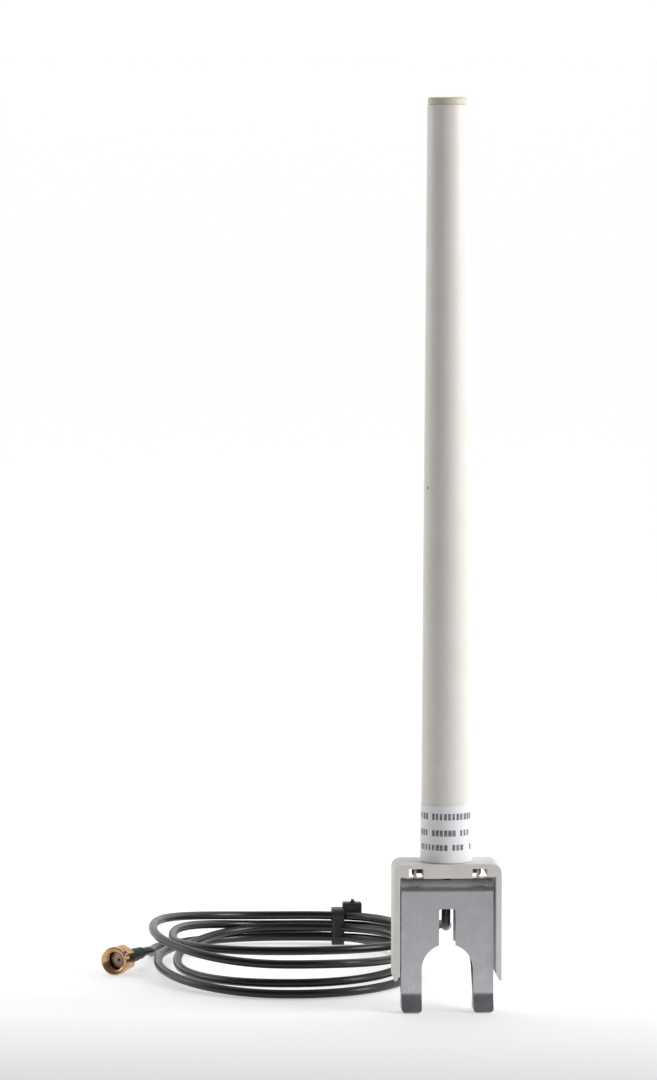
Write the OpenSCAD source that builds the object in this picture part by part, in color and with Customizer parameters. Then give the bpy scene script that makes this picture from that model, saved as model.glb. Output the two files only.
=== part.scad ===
// Clip-on omnidirectional antenna with a coiled coax lead.
// Frame: millimetres, +Z up along the antenna's axis, clip front towards -Y,
// origin under the axis at the level of the clip's tips.

/* [Radome] */
// Outer diameter of the tube where it meets the holder
radome_base_d = 16.0; // [15:0.1:17]
// Outer diameter of the tube under the cap
radome_top_d = 12.5; // [12.2:0.1:13.5]
// Wall of the tube
radome_wall = 1.2; // [1:0.1:1.5]
// Length of the tube
radome_length = 235; // [234:1:280]
// Thickness of the cap's rim
cap_rim = 2.2; // [1.5:0.1:4]
// Height of the printed label
label_h = 17.9; // [12:0.1:24]

/* [Holder] */
// Width of the holder across its arms
holder_w = 33.4; // [33.2:0.1:34]
// Depth of the holder, front to back
holder_d = 17.6; // [17:0.1:20]
// Height of the holder's top face
holder_top = 46.8; // [46.6:0.1:47.2]
// Height of the lower ends of its arms
arm_end = 10.4; // [8:0.1:14]
// Wall of each arm
arm_wall = 1.75; // [1.5:0.05:1.8]
// Wall of the holder's top plate
top_wall = 1.4; // [1.2:0.1:1.5]
// Radius of the two upper corners
corner_r = 2.8; // [1:0.1:4]
// Width of the block in the middle that carries the pivots
block_w = 15.2; // [14.8:0.1:15.6]

/* [Clip] */
// Width of the spring clip
clip_w = 28.7; // [27.6:0.1:28.8]
// Thickness of the spring steel
steel_t = 0.8; // [0.7:0.05:0.85]
// Distance across the outer faces of the two leaves
clip_d = 11.2; // [11:0.1:11.6]
// Outer radius of the two upper bends
bend_r = 4; // [3.4:0.1:4.2]
// Width of the cable slot in each leaf
slot_w = 5.1; // [4.8:0.1:5.6]
// Width of the arch between the two legs of a leaf
arch_w = 16; // [14:0.5:17]
// Diameter of the two pivot rivets
rivet_d = 1.4; // [1.2:0.05:1.4]

/* [Connector and cable] */
// Diameter of the coax cable
cable_d = 2.8; // [2.5:0.1:2.8]
// Size across the flats of the coupling nut
nut_af = 8; // [7.8:0.1:8.4]
// Diameter of the nut's round collar
collar_d = 9.2; // [9:0.1:9.6]
// Diameter of the bore that takes the thread
thread_d = 6.0; // [5.9:0.05:6.35]
// Depth of that bore
thread_depth = 3.1; // [3:0.1:3.6]

/* [Hidden] */
$fn = 96;
eps = 0.01;
overcut = 1;

// Radome, worked out from its base
radome_top = holder_top + radome_length;
wall_slope = (radome_base_d - radome_top_d) / radome_length;
function radome_d(z) = radome_base_d - (z - holder_top) * wall_slope;
function bore_d(z) = radome_d(z) - 2 * radome_wall;
label_t = 0.15;
label_z = holder_top + 0.3;
cap_spigot = 8;

// Pivot and holder
pocket_top = holder_top - top_wall;
pivot_z = pocket_top - 1.8;
block_bottom = pivot_z - 1.2;
corner_block_x = 12.15;
corner_block_z = block_bottom + 0.5;
pivot_play = 0.05;
pivot_seat = 2.4;
plug_d = 10;
plug_floor = block_bottom + 1.6;

// Clip, seen from the side
crown_top = block_bottom - 0.8;
leaf_y = clip_d / 2;
bend_y = leaf_y - bend_r;
bend_z = crown_top - bend_r;
front_leaf_top = bend_z - 0.6;
ear_x = 9.4;
ear_w = 3.8;
ear_r = 1.6;
slot_top = 32.4;
slot_corner_r = 0.7;
arch_z = 13.4;
arch_r = arch_w / 2;
flare_r = 5;
flare_angle = 28;
flare_length = 4.1;
crown_hole_d = 6.4;
tip_corner_r = 1.2;
tip_gap = 0.05;

// Front leaf: it flares forward at its tip, which stands at z = 0
flare_start = steel_t * sin(flare_angle) + flare_length * cos(flare_angle)
    + flare_r * sin(flare_angle);
flare_centre = [-leaf_y - flare_r, flare_start];
flare_end = flare_centre + flare_r * [cos(flare_angle), -sin(flare_angle)];

// Back leaf: it leans in to the pinch and turns out again at its tip.
// Each point lies on its front face.
lean_z = 15.6;
lean_angle = 44;
lean_r = 3;
lean_length = 7.6;
lip_angle = 30;
lip_r = 2.2;
lean_centre = [leaf_y - steel_t - lean_r, lean_z];
lean_end = lean_centre + lean_r * [cos(lean_angle), -sin(lean_angle)];
lip_start = lean_end + lean_length * [-sin(lean_angle), -cos(lean_angle)];
lip_centre = lip_start + (lip_r + steel_t) * [cos(lean_angle), -sin(lean_angle)];
lip_end = lip_centre + (lip_r + steel_t) * [-cos(lip_angle), -sin(lip_angle)];
lip_length = lip_end[1] / cos(lip_angle);

// Inside the tube, heights
ferrule_z = 58;
feed_top = 70;
choke_top = 101;
lower_top = 162;
phasing_top = 176;
upper_top = 256;
wire_d = 1.2;

// Coil of spare cable: an oval ring around its turns, tied at the far side
ring_x = -47.1;
ring_y = 80.8;
ring_w = 89.4;
ring_l = 120.4;
ring_h = 15.9;
hole_x = -44.5;
hole_y = 90;
hole_w = 63;
hole_l = 80;
tie_x = -27;
tie_y = 134.9;
tie_w = 4;
tie_loop_y = 9.6;
tie_loop_z = 12.2;
tie_t = 1;

// Connector on the tail's end: its mouth's centre, and its turn away from -Y
connector_pos = [-102.8, 71.3, 4.65];
connector_turn = 27;
nut_length = 7.6;
collar_length = 3.2;
chamber_d = 6.6;
chamber_back = -6.4;
barrel_d = 5.1;
shoulder_d = 5.8;
shoulder_back = -9.2;
post_back = -10.2;
ferrule_back = -16;
sleeve_back = -20;

// Route points of the cable where it isn't coiled
lead_route = [[0, 0, 42.4], [0, 0, 38], [0, 0, 33.8], [0, 1, 29.8], [0.2, 4, 26.5],
    [0.5, 8.4, 24.9], [1.2, 12.6, 24.6], [1, 17, 24.3], [-0.6, 21.4, 23.6], [-3.4, 25.6, 21.8],
    [-5.8, 30.4, 19], [-6.8, 35.8, 15.8], [-6.6, 42, 13], [-6, 49, 11.2], [-5, 57, 10.4]];
tail_route = [[-64, 137, 2.3], [-73, 134.6, 1.8], [-81, 130.4, 1.4], [-86.8, 124, 1.4],
    [-89.4, 116.6, 1.4], [-89.9, 109.4, 1.6], [-89.6, 103.4, 2.6], [-90.2, 97.6, 4],
    [-91.9, 92.7, 4.6], [-93.72, 89.12, 4.65], [-95.99, 84.67, 4.65], [-98.17, 80.39, 4.65]];

// Unit vector, and the frame of one ring of a swept tube
function unit(v) = v / norm(v);
function heading(route, i) = i == 0 ? route[1] - route[0]
    : i == len(route) - 1 ? route[i] - route[i - 1] : route[i + 1] - route[i - 1];

// A tube of many flat sides along a route that is nowhere parallel to the vector aside
module swept_tube(route, d, aside = [0, 0, 1], sides = 8) {
    rings = len(route);
    points = [for (i = [0:rings - 1], k = [0:sides - 1])
        let (t = unit(heading(route, i)), u = unit(cross(t, aside)), v = unit(cross(t, u)),
             a = 360 * k / sides)
        route[i] + d / 2 * (cos(a) * u + sin(a) * v)];
    walls = [for (i = [0:rings - 2], k = [0:sides - 1])
        let (n = (k + 1) % sides)
        [i * sides + k, (i + 1) * sides + k, (i + 1) * sides + n, i * sides + n]];
    start = [[for (k = [0:sides - 1]) k]];
    end = [[for (k = [sides - 1:-1:0]) (rings - 1) * sides + k]];
    polyhedron(points = points, faces = concat(start, walls, end));
}

// A pipe along +Z between two heights
module pipe(d_out, d_in, z0, z1) {
    translate([0, 0, z0]) difference() {
        cylinder(d = d_out, h = z1 - z0);
        translate([0, 0, -overcut]) cylinder(d = d_in, h = z1 - z0 + 2 * overcut);
    }
}

// A solid rod along +Z between two heights
module rod(d, z0, z1) {
    translate([0, 0, z0]) cylinder(d = d, h = z1 - z0);
}

// Points along an arc
function arc(centre, r, from, to, steps = 12) = [for (i = [0:steps])
    let (a = from + (to - from) * i / steps) centre + r * [cos(a), sin(a)]];
function mirrored(points) = [for (i = [len(points) - 1:-1:0]) [-points[i][0], points[i][1]]];

// A solid whose outline is drawn in Y and Z and that spans the clip's width
module across_clip(width = clip_w) {
    translate([-width / 2, 0, 0]) rotate([90, 0, 90]) linear_extrude(height = width) children();
}

// --- tube ---

module radome() {
    color("ivory") difference() {
        translate([0, 0, holder_top])
            cylinder(d1 = radome_base_d, d2 = radome_top_d, h = radome_length);
        translate([0, 0, holder_top - eps])
            cylinder(d1 = radome_base_d - 2 * radome_wall, d2 = radome_top_d - 2 * radome_wall,
                h = radome_length + 2 * eps);
    }
}

module top_cap() {
    color("cornsilk") {
        rod(radome_top_d - 0.4, radome_top, radome_top + cap_rim);
        rod(bore_d(radome_top) - 0.1, radome_top - cap_spigot, radome_top + eps);
    }
}

module label() {
    label_top = label_z + label_h;
    color("white") difference() {
        translate([0, 0, label_z])
            cylinder(d1 = radome_d(label_z) + 2 * label_t, d2 = radome_d(label_top) + 2 * label_t,
                h = label_h);
        translate([0, 0, label_z - overcut])
            cylinder(d1 = radome_d(label_z - overcut) + 0.02,
                d2 = radome_d(label_top + overcut) + 0.02, h = label_h + 2 * overcut);
    }
}

// --- holder ---

module holder_outline() {
    inner_x = holder_w / 2 - arm_wall;
    chamfer = 1.9;
    difference() {
        union() {
            translate([-holder_w / 2, arm_end]) square([holder_w, holder_top - arm_end - corner_r]);
            translate([-holder_w / 2 + corner_r, arm_end])
                square([holder_w - 2 * corner_r, holder_top - arm_end]);
            for (side = [-1, 1])
                translate([side * (holder_w / 2 - corner_r), holder_top - corner_r])
                    circle(r = corner_r);
        }
        // gap between the arms, below the corner blocks
        translate([-inner_x, arm_end - overcut])
            square([2 * inner_x, corner_block_z - arm_end + overcut]);
        // pocket between the corner blocks
        translate([-corner_block_x, corner_block_z - overcut])
            square([2 * corner_block_x, pocket_top - corner_block_z + overcut]);
        // lead-in at the lower end of each arm
        for (side = [0, 1]) mirror([side, 0])
            polygon([[inner_x - eps, arm_end - eps], [inner_x + 1, arm_end - eps],
                [inner_x - eps, arm_end + chamfer]]);
    }
    translate([-block_w / 2, block_bottom]) square([block_w, pocket_top - block_bottom + eps]);
}

module holder() {
    color("gainsboro") difference() {
        rotate([90, 0, 0]) linear_extrude(height = holder_d, center = true) holder_outline();
        translate([0, 0, plug_floor]) cylinder(d = plug_d + 0.1, h = holder_top);
        translate([0, 0, block_bottom - overcut]) cylinder(d = cable_d + 2, h = 5);
        for (side = [-1, 1])
            translate([side * (block_w / 2 - pivot_seat / 2 + overcut / 2), 0, pivot_z])
                rotate([0, 90, 0])
                    cylinder(d = rivet_d + 2 * pivot_play, h = pivot_seat + overcut, center = true);
    }
}

module base_plug() {
    plug_in_tube = 10;
    color("silver") difference() {
        union() {
            rod(plug_d, plug_floor, holder_top + eps);
            rod(bore_d(holder_top + plug_in_tube) - 0.1, holder_top, holder_top + plug_in_tube);
        }
        translate([0, 0, plug_floor - overcut]) cylinder(d = cable_d + 0.1, h = 30);
    }
}

module cable_grommet() {
    color("dimgray") pipe(cable_d + 1.96, cable_d + 0.04, block_bottom, plug_floor);
}

// --- clip ---

// Front view of a leaf up to a height: two legs, the arch between them and the cable slot
module leaf_front(top) {
    slot_x = slot_w / 2;
    right = concat(
        arc([slot_x - slot_corner_r, slot_top - slot_corner_r], slot_corner_r, 90, 0, 6),
        arc([0, arch_z], arch_r, acos(slot_x / arch_r), 0, 16),
        arc([arch_r + tip_corner_r, tip_corner_r - tip_gap], tip_corner_r, 180, 270, 6),
        arc([clip_w / 2 - tip_corner_r, tip_corner_r - tip_gap], tip_corner_r, 270, 360, 6),
        [[clip_w / 2, top]]);
    translate([0, clip_d, 0]) rotate([90, 0, 0]) linear_extrude(height = 2 * clip_d)
        polygon(concat(right, mirrored(right)));
}

// Side view of the front leaf
module front_leaf_side() {
    down = [-sin(flare_angle), -cos(flare_angle)];
    back = [cos(flare_angle), -sin(flare_angle)];
    tip = flare_end + flare_length * down;
    polygon(concat(
        [[-leaf_y, front_leaf_top], [-leaf_y + steel_t, front_leaf_top]],
        arc(flare_centre, flare_r + steel_t, 0, -flare_angle, 8),
        [tip + steel_t * back, tip],
        arc(flare_centre, flare_r, -flare_angle, 0, 8)));
}

module clip_front() {
    color("darkgray") intersection() {
        across_clip() front_leaf_side();
        leaf_front(crown_top);
    }
}

// Side view of the crown with its two bends, and of the back leaf
module back_leaf_side() {
    lip_back = [cos(lip_angle), sin(lip_angle)];
    tip = lip_end + lip_length * [sin(lip_angle), -cos(lip_angle)];
    polygon(concat(
        arc([-bend_y, bend_z], bend_r, 180, 90),
        arc([bend_y, bend_z], bend_r, 90, 0),
        arc(lean_centre, lean_r + steel_t, 0, -lean_angle, 8),
        arc(lip_centre, lip_r, 180 - lean_angle, 180 + lip_angle),
        [tip + steel_t * lip_back, tip],
        arc(lip_centre, lip_r + steel_t, 180 + lip_angle, 180 - lean_angle),
        arc(lean_centre, lean_r, -lean_angle, 0, 8),
        arc([bend_y, bend_z], bend_r - steel_t, 0, 90),
        arc([-bend_y, bend_z], bend_r - steel_t, 90, 180)));
}

// An ear that stands up from the crown and takes a rivet
module clip_ear() {
    foot = crown_top - steel_t / 2;
    translate([ear_x, 0, 0]) rotate([90, 0, 90]) linear_extrude(height = steel_t) difference() {
        polygon(concat([[-ear_w / 2, foot], [ear_w / 2, foot]],
            arc([0, pivot_z], ear_r, 30, 150)));
        translate([0, pivot_z]) circle(d = rivet_d);
    }
}

module clip_back() {
    color("darkgray") {
        difference() {
            intersection() {
                across_clip() back_leaf_side();
                leaf_front(crown_top + overcut);
            }
            rod(crown_hole_d, crown_top - steel_t - overcut, crown_top + overcut);
        }
        for (side = [0, 1]) mirror([side, 0, 0]) clip_ear();
    }
}

module pivot_rivets() {
    rivet_in = block_w / 2 - pivot_seat + 0.2;
    head_d = 2.6;
    head_t = 0.6;
    color("dimgray") for (side = [0, 1]) mirror([side, 0, 0]) {
        translate([rivet_in, 0, pivot_z]) rotate([0, 90, 0])
            cylinder(d = rivet_d, h = ear_x + steel_t - rivet_in + eps);
        translate([ear_x + steel_t, 0, pivot_z]) rotate([0, 90, 0])
            cylinder(d = head_d, h = head_t);
    }
}

// --- inside the tube ---

module feed_coax() {
    color("black") rod(cable_d, block_bottom, ferrule_z + 2);
    color("peru") rod(0.9, ferrule_z + 2, feed_top + 2);
}

module crimp_ferrule() {
    color("gold") pipe(4.4, cable_d + 0.02, ferrule_z, ferrule_z + 2);
    color("gold") pipe(4.4, 1.8, ferrule_z + 2, ferrule_z + 10);
}

module choke_sleeve() {
    color("goldenrod") pipe(7, 6.2, feed_top, choke_top);
}

module sleeve_washer() {
    color("goldenrod") pipe(6.18, 1.3, feed_top, feed_top + 0.8);
}

module lower_radiator() {
    color("peru") rod(wire_d, feed_top + 2, lower_top);
}

module phasing_coil() {
    turns = 7;
    coil_r = 2.5;
    steps = turns * 12;
    route = [for (i = [0:steps]) let (a = 360 * turns * i / steps)
        [coil_r * cos(a), coil_r * sin(a), lower_top + 1.2 + (phasing_top - lower_top - 2.4) * i / steps]];
    color("peru") swept_tube(route, 0.8, sides = 6);
}

module coil_former() {
    color("whitesmoke") {
        rod(3.6, lower_top, phasing_top);
        for (z = [lower_top, phasing_top - 0.8]) rod(7.6, z, z + 0.8);
    }
}

module upper_radiator() {
    color("peru") rod(wire_d, phasing_top, upper_top);
}

module centring_discs() {
    disc_t = 4;
    color("lightgray") for (z = [120, 150, 205, 245])
        pipe(bore_d(z + disc_t) - 0.2, wire_d + 0.04, z, z + disc_t);
}

// --- cable ---

module cable_lead() {
    color("black") swept_tube(lead_route, cable_d, [1, 0, 0]);
}

// An outline with round ends
module oval(w, l) {
    for (side = [-1, 1]) translate([0, side * (l - w) / 2]) circle(d = w);
    square([w, l - w], center = true);
}

module cable_coil() {
    color("black") linear_extrude(height = ring_h) difference() {
        translate([ring_x, ring_y]) oval(ring_w, ring_l);
        translate([hole_x, hole_y]) oval(hole_w, hole_l);
    }
}

module cable_tail() {
    color("black") swept_tube(tail_route, cable_d);
}

module cable_tie() {
    head = [6, 4.6, 3.8];
    color("black") {
        translate([tie_x, tie_y, tie_loop_z / 2]) difference() {
            cube([tie_w, tie_loop_y, tie_loop_z], center = true);
            cube([tie_w + 2 * overcut, tie_loop_y - 2 * tie_t, tie_loop_z - 2 * tie_t],
                center = true);
        }
        translate([tie_x + tie_w / 2 - eps, tie_y - head[1] / 2, tie_loop_z - head[2] / 2])
            cube(head);
    }
}

// --- connector: local +Z points out of its mouth, and 0 is the nut's face ---

module at_connector() {
    translate(connector_pos) rotate([0, 0, -connector_turn]) rotate([90, 0, 0]) children();
}

module coupling_nut() {
    hex_d = nut_af / cos(30);
    color("gold") at_connector() difference() {
        union() {
            rod(collar_d, -collar_length, 0);
            translate([0, 0, -nut_length])
                cylinder(d = hex_d, h = nut_length - collar_length + eps, $fn = 6);
        }
        rod(thread_d, -thread_depth, overcut);
        rod(chamber_d, chamber_back, -thread_depth + eps);
        rod(barrel_d + 0.12, -nut_length - overcut, chamber_back + eps);
    }
}

module connector_body() {
    groove_d = 4.6;
    groove_front = -4.9;
    groove_back = -5.5;
    bore = 4.1;
    color("gold") at_connector() difference() {
        union() {
            rod(barrel_d, -nut_length - 0.2, groove_back);
            rod(groove_d, groove_back - eps, groove_front + eps);
            rod(barrel_d, groove_front, -3.5);
            rod(shoulder_d, shoulder_back, -nut_length - 0.15);
            rod(cable_d, post_back, shoulder_back + eps);
        }
        rod(bore, -8.4, 0);
        rod(1.3, post_back - overcut, 0);
    }
}

module insulator() {
    color("whitesmoke") at_connector() pipe(4.08, 1.32, -8.4, -3.8);
}

module contact() {
    color("gold") at_connector() difference() {
        rod(1.28, post_back, -3.9);
        rod(0.94, -6.4, 0);
    }
}

module gasket() {
    color("chocolate") at_connector() pipe(5.9, barrel_d + 0.02, -4.7, -3.9);
}

module snap_ring() {
    gap_w = 1;
    color("silver") at_connector() difference() {
        pipe(6.2, 4.64, -5.44, -4.96);
        translate([0, -gap_w / 2, -6]) cube([chamber_d, gap_w, 2]);
    }
}

module tail_ferrule() {
    color("gold") at_connector() pipe(3.7, cable_d + 0.04, ferrule_back, shoulder_back - 0.05);
}

module tail_sleeve() {
    color("black") at_connector() {
        pipe(4.4, 3.74, ferrule_back, shoulder_back - 0.05);
        pipe(4.0, cable_d + 0.04, sleeve_back, ferrule_back);
    }
}

radome();
top_cap();
label();
holder();
base_plug();
cable_grommet();
pivot_rivets();
clip_back();
clip_front();
feed_coax();
crimp_ferrule();
choke_sleeve();
sleeve_washer();
lower_radiator();
phasing_coil();
coil_former();
upper_radiator();
centring_discs();
cable_lead();
cable_coil();
cable_tail();
cable_tie();
tail_sleeve();
tail_ferrule();
connector_body();
insulator();
contact();
gasket();
snap_ring();
coupling_nut();
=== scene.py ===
import math

import bmesh
import bpy
from mathutils import Matrix, Vector


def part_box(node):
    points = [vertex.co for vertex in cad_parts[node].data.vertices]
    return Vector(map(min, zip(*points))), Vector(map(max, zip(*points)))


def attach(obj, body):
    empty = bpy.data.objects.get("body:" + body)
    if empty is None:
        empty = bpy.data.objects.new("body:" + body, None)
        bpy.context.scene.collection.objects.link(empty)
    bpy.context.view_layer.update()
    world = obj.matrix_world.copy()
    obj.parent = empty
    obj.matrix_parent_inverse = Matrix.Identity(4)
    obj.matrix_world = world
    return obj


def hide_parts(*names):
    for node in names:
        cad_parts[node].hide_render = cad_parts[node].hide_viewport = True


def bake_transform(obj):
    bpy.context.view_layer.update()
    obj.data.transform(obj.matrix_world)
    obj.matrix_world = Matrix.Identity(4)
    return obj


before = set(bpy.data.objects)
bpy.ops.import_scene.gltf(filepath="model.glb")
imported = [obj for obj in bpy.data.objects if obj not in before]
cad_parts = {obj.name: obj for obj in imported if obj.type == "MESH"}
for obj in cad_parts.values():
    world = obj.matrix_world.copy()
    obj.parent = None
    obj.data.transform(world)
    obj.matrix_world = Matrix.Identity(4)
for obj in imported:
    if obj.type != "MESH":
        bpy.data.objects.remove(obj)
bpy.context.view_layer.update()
MM = 0.001

# ---------------------------------------------------------------------------
# The stand: a pale floor that runs out to a white room, the camera, and soft
# studio light. The key light is a large box on the right, and the room in
# front is dark, which gives the bent steel of the clip its dark bands.
# ---------------------------------------------------------------------------

CAMERA_TURN = math.radians(-4.0)
CAMERA_DISTANCE = 1795 * MM
CAMERA_HEIGHT = 298.4 * MM
AIM_LEFT = 36.7 * MM
AIM_HEIGHT = 147.0 * MM
LENS = 193.6
SENSOR = 36.0
# Metres: the floor is so wide that its edge can't be seen, and the camera sees past it
FLOOR_SIZE = 400
FAR = 1000
MIDDLE = Vector((0, 0, 140 * MM))


def linear(code):
    """Linear RGBA of an sRGB hex colour."""
    parts = [int(code[i:i + 2], 16) / 255 for i in (1, 3, 5)]
    return tuple(p / 12.92 if p <= 0.04045 else ((p + 0.055) / 1.055) ** 2.4 for p in parts) + (1.0,)


def add_node(tree, kind, links=None, **settings):
    """A node of that kind with its settings. Links gives each input a value or another node's output."""
    node = tree.nodes.new(kind)
    for name, value in settings.items():
        setattr(node, name, value)
    for name, value in (links or {}).items():
        if isinstance(value, bpy.types.NodeSocket):
            tree.links.new(value, node.inputs[name])
        else:
            node.inputs[name].default_value = value
    return node


def new_material(name, colour, roughness, metallic=0.0, ior=1.5):
    """A material with its shader's plain values set, its node tree and its shader."""
    material = bpy.data.materials.new(name)
    material.use_nodes = True
    tree = material.node_tree
    shader = tree.nodes["Principled BSDF"]
    shader.inputs["Base Color"].default_value = linear(colour)
    shader.inputs["Roughness"].default_value = roughness
    shader.inputs["Metallic"].default_value = metallic
    if not metallic:
        shader.inputs["IOR"].default_value = ior
    return material, tree, shader


def fine_skin(tree, shader, grain_mm, depth_mm, strength, detail=2.0):
    """A fine relief in a surface, made of grains of one size. Returns its bump node."""
    place = add_node(tree, "ShaderNodeTexCoord")
    grain = add_node(tree, "ShaderNodeTexNoise", {"Vector": place.outputs["Object"],
                                                  "Scale": 1000 / grain_mm, "Detail": detail})
    bump = add_node(tree, "ShaderNodeBump", {"Height": grain.outputs["Fac"], "Strength": strength,
                                             "Distance": depth_mm * MM})
    tree.links.new(bump.outputs["Normal"], shader.inputs["Normal"])
    return bump


def deselect():
    bpy.ops.object.select_all(action="DESELECT")


def add_studio():
    deselect()
    right = Vector((math.cos(CAMERA_TURN), math.sin(CAMERA_TURN), 0))
    ahead = Vector((-math.sin(CAMERA_TURN), math.cos(CAMERA_TURN), 0))
    stand = -ahead * CAMERA_DISTANCE + Vector((0, 0, CAMERA_HEIGHT))
    aim = -right * AIM_LEFT + Vector((0, 0, AIM_HEIGHT))
    data = bpy.data.cameras.new("camera")
    data.lens = LENS
    data.sensor_fit = "VERTICAL"
    data.sensor_height = SENSOR
    data.clip_end = FAR
    camera = bpy.data.objects.new("camera", data)
    camera.location = stand
    camera.rotation_euler = (aim - stand).to_track_quat("-Z", "Y").to_euler()
    bpy.context.scene.collection.objects.link(camera)
    bpy.context.scene.camera = camera

    bpy.ops.mesh.primitive_plane_add(size=FLOOR_SIZE, location=(0, 0, 0))
    floor = bpy.context.object
    floor.name = "floor"
    # White paper on a light table: it glows under and behind the object, and fades to plain paper in front
    material, tree, shader = new_material("floor_matt_white_paper", "#E2E2E1", 0.9)
    fine_skin(tree, shader, 1.11, 0.2, 0.02)
    place = add_node(tree, "ShaderNodeTexCoord")
    split = add_node(tree, "ShaderNodeSeparateXYZ", {"Vector": place.outputs["Object"]})
    glow_starts, glow_full, glow_most = -0.17, 0.09, 0.55
    glow = add_node(tree, "ShaderNodeMapRange", {"Value": split.outputs["Y"], "From Min": glow_starts,
                                                 "From Max": glow_full, "To Max": glow_most})
    shader.inputs["Emission Color"].default_value = (1.0, 1.0, 1.0, 1.0)
    tree.links.new(glow.outputs["Result"], shader.inputs["Emission Strength"])
    floor.data.materials.append(material)

    # each light's name, place in metres, side in metres and power in watts
    for name, spot, size, power in (
            ("key_light", (1.0, -0.36, 0.55), 0.6, 9.4),
            ("left_fill", (-1.2, 0.5, 0.4), 0.5, 1.2)):
        data = bpy.data.lights.new(name, "AREA")
        data.shape = "SQUARE"
        data.size = size
        data.energy = power
        light = bpy.data.objects.new(name, data)
        light.location = spot
        light.rotation_euler = (MIDDLE - Vector(spot)).to_track_quat("-Z", "Y").to_euler()
        bpy.context.scene.collection.objects.link(light)

    # The room: white behind the object, dark in front of it, where the camera stands
    world = bpy.data.worlds.new("studio")
    bpy.context.scene.world = world
    world.use_nodes = True
    tree = world.node_tree
    place = add_node(tree, "ShaderNodeTexCoord")
    split = add_node(tree, "ShaderNodeSeparateXYZ", {"Vector": place.outputs["Generated"]})
    front = add_node(tree, "ShaderNodeMapRange", {
        "Value": split.outputs["Y"], "From Min": 0.36, "From Max": -0.24}, clamp=True)
    colour = add_node(tree, "ShaderNodeMix", {
        "Factor": front.outputs["Result"], "A": (1.0, 1.0, 1.0, 1.0), "B": (0.13, 0.13, 0.135, 1.0)},
        data_type="RGBA")
    background = tree.nodes["Background"]
    tree.links.new(colour.outputs["Result"], background.inputs["Color"])
    # just over one, so that the room behind comes out as pure white
    background.inputs["Strength"].default_value = 1.02
    bpy.context.scene.view_settings.view_transform = "Standard"


add_studio()


# ---------------------------------------------------------------------------
# The lead: thin coax with a black PVC jacket, 2.8 mm thick. It leaves the
# holder's block, turns back through the slot in the clip's back leaf, lies in
# four loose turns tied at the far side, and ends at its connector.
# ---------------------------------------------------------------------------

CABLE_D = 2.8
LEAD_ROUTE = [
    (0, 0, 42.4), (0, 0, 38), (0, 0, 33.8), (0, 1, 29.8), (0.2, 4, 26.5),
    (0.5, 8.4, 24.9), (1.2, 12.6, 24.6), (1, 17, 24.3), (-0.6, 21.4, 23.6), (-3.4, 25.6, 21.8),
    (-5.8, 30.4, 19), (-6.8, 35.8, 15.8), (-6.6, 42, 13), (-6, 49, 11.2), (-5, 57, 10.4)]
TAIL_ROUTE = [
    (-64, 137, 2.3), (-73, 134.6, 1.8), (-81, 130.4, 1.4), (-86.8, 124, 1.4), (-89.4, 116.6, 1.4),
    (-89.9, 109.4, 1.6), (-89.6, 103.4, 2.6), (-90.2, 97.6, 4), (-91.9, 92.7, 4.6),
    (-93.72, 89.12, 4.65), (-95.99, 84.67, 4.65), (-98.17, 80.39, 4.65)]
COIL_CENTRE = (-46.2, 77.4)
# How far each turn reaches to the right, the far side, the left and the near side, and its height there
REACHES = [
    (-4.4, 8.2), (139.0, 6.2), (-83.5, 11.4), (43.4, 12.0),
    (-6.0, 11.2), (137.2, 9.5), (-89.9, 14.4), (25.4, 10.5),
    (-8.2, 7.6), (136.2, 5.6), (-82.0, 3.4), (24.9, 4.6),
    (-7.6, 4.7), (136.0, 2.4), (-88.3, 3.5), (22.4, 1.5),
    (-4.8, 1.6), (138.8, 2.5)]
QUARTER_POINTS = 9
# An ellipse has a roundness of 2. The turns are a little squarer, most of all at the far right
ROUNDNESS, FIRST_ROUNDNESS = 2.15, 2.6


def coil_points():
    """The turns, each quarter a rounded arc from one reach to the next."""
    points = []
    for i, ((reach, height), (next_reach, next_height)) in enumerate(zip(REACHES, REACHES[1:])):
        roundness = FIRST_ROUNDNESS if i % 4 == 0 else ROUNDNESS
        for k in range(QUARTER_POINTS):
            turn = math.pi / 2 * k / QUARTER_POINTS
            leaving = math.cos(turn) ** (2 / roundness)
            coming = math.sin(turn) ** (2 / roundness)
            x_reach, y_reach = (reach, next_reach) if i % 2 == 0 else (next_reach, reach)
            x_share, y_share = (leaving, coming) if i % 2 == 0 else (coming, leaving)
            points.append((COIL_CENTRE[0] + (x_reach - COIL_CENTRE[0]) * x_share,
                           COIL_CENTRE[1] + (y_reach - COIL_CENTRE[1]) * y_share,
                           height + (next_height - height) * (1 - math.cos(2 * turn)) / 2))
    points.append((COIL_CENTRE[0], REACHES[-1][0], REACHES[-1][1]))
    return points


def smooth_line(route):
    """Points of one smooth curve through the route's points, with no overshoot where they are uneven."""
    parts = 6
    knots = [Vector(p) * MM for p in route]
    knots = [2 * knots[0] - knots[1]] + knots + [2 * knots[-1] - knots[-2]]
    line = []
    for before, start, end, after in zip(knots, knots[1:], knots[2:], knots[3:]):
        t0, t1, t2 = (start - before).length ** 0.5, (end - start).length ** 0.5, (after - end).length ** 0.5
        leave = (end - start) + t1 * ((start - before) / t0 - (end - before) / (t0 + t1))
        arrive = (end - start) + t1 * ((after - end) / t2 - (after - start) / (t1 + t2))
        for k in range(parts):
            s = k / parts
            line.append((2 * s**3 - 3 * s**2 + 1) * start + (s**3 - 2 * s**2 + s) * leave
                        + (3 * s**2 - 2 * s**3) * end + (s**3 - s**2) * arrive)
    line.append(knots[-2])
    return line


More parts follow.
